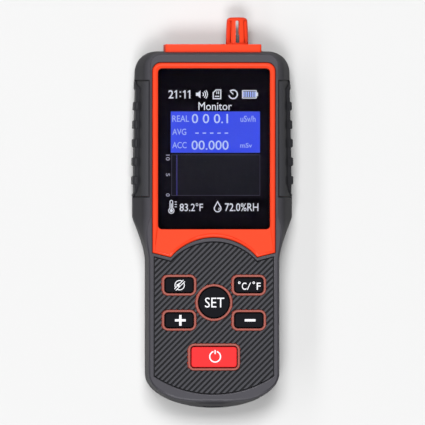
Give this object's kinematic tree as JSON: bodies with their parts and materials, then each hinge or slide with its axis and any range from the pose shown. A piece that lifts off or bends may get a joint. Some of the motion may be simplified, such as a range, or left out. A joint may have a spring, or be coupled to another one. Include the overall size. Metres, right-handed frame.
{
  "type": "geiger counter",
  "caption": "Handheld geiger counter with a colour display, a pressed keypad and a slotted climate probe on its top end.",
  "frame": {"origin": "on the back face, in the middle of the overall length and width", "axes": "+X to the right of the face, +Y towards the probe end, +Z out of the display; it lies on its back"},
  "size_m": [0.079, 0.1916, 0.034],
  "materials": {
    "soft_grey": "soft overmoulded rubber, satin",
    "hard_grey": "fine moulded texture",
    "panel_grey": "ribbed soft rubber",
    "grip_rubber": "matt rubber",
    "seal_rubber": "soft matt rubber",
    "orange_plastic": "satin moulded plastic",
    "black_board": "black solder mask",
    "nickel": "nickel plated",
    "lens": "polished, black border printed behind",
    "display": "lit colour display",
    "pressed_steel": "pressed sheet",
    "black_plastic": "moulded",
    "ribbon": "polyimide film",
    "board": "green solder mask",
    "winding": "tape wound",
    "tube_glass": "clear glass",
    "cell_wrap": "laminated foil",
    "foam": "closed cell foam",
    "lead": "insulated lead",
    "silicone": "moulded silicone",
    "carbon": "carbon loaded rubber",
    "screw_steel": "zinc plated",
    "key_black": "satin silicone, printed legends",
    "key_red": "satin silicone, printed legend"
  },
  "bodies": {
    "casing": {"front_cover": "soft_grey", "rear_cover": "hard_grey", "keypad_panel": "panel_grey", "side_grip_left": "grip_rubber", "side_grip_right": "grip_rubber", "case_seal": "seal_rubber", "front_shell": "orange_plastic", "top_cap": "orange_plastic", "sensor_cage": "orange_plastic", "sensor_board": "black_board", "climate_sensor": "nickel", "display_lens": "lens", "lcd_panel": "display", "lcd_frame": "pressed_steel", "lcd_bracket": "black_plastic", "lcd_ribbon": "ribbon", "main_board": "board", "processor": "black_plastic", "hv_transformer": "winding", "buzzer": "black_plastic", "tube_glass": "tube_glass", "tube_cathode": "pressed_steel", "tube_anode": "nickel", "tube_cap_lower": "nickel", "tube_cap_upper": "nickel", "tube_clip_lower": "nickel", "tube_clip_upper": "nickel", "battery_cell": "cell_wrap", "battery_pad": "foam", "battery_lead": "lead", "usb_shell": "nickel", "usb_tongue": "black_plastic", "key_membrane": "silicone", "case_screw_1": "screw_steel", "board_screw_1": "screw_steel", "case_screw_2": "screw_steel", "board_screw_2": "screw_steel", "case_screw_3": "screw_steel", "board_screw_3": "screw_steel", "case_screw_4": "screw_steel", "board_screw_4": "screw_steel", "key_web_mute": "silicone", "key_web_unit": "silicone", "key_web_set": "silicone", "key_web_plus": "silicone", "key_web_minus": "silicone", "key_web_power": "silicone"},
    "key_mute_body": {"key_mute": "key_black", "key_pill_mute": "carbon"},
    "key_unit_body": {"key_unit": "key_black", "key_pill_unit": "carbon"},
    "key_set_body": {"key_set": "key_black", "key_pill_set": "carbon"},
    "key_plus_body": {"key_plus": "key_black", "key_pill_plus": "carbon"},
    "key_minus_body": {"key_minus": "key_black", "key_pill_minus": "carbon"},
    "key_power_body": {"key_power": "key_red", "key_pill_power": "carbon"}
  },
  "joints": [
    {"name": "press_mute", "type": "slide", "parent": "casing", "child": "key_mute_body", "axis": [0, 0, -1], "range_m": [0, 0.001], "stiffness_N_per_m": 1200, "springref_m": -0.0004, "deforming": ["key_web_mute"]},
    {"name": "press_unit", "type": "slide", "parent": "casing", "child": "key_unit_body", "axis": [0, 0, -1], "range_m": [0, 0.001], "stiffness_N_per_m": 1200, "springref_m": -0.0004, "deforming": ["key_web_unit"]},
    {"name": "press_set", "type": "slide", "parent": "casing", "child": "key_set_body", "axis": [0, 0, -1], "range_m": [0, 0.001], "stiffness_N_per_m": 1200, "springref_m": -0.0004, "deforming": ["key_web_set"]},
    {"name": "press_plus", "type": "slide", "parent": "casing", "child": "key_plus_body", "axis": [0, 0, -1], "range_m": [0, 0.001], "stiffness_N_per_m": 1200, "springref_m": -0.0004, "deforming": ["key_web_plus"]},
    {"name": "press_minus", "type": "slide", "parent": "casing", "child": "key_minus_body", "axis": [0, 0, -1], "range_m": [0, 0.001], "stiffness_N_per_m": 1200, "springref_m": -0.0004, "deforming": ["key_web_minus"]},
    {"name": "press_power", "type": "slide", "parent": "casing", "child": "key_power_body", "axis": [0, 0, -1], "range_m": [0, 0.001], "stiffness_N_per_m": 1200, "springref_m": -0.0004, "deforming": ["key_web_power"]}
  ]
}
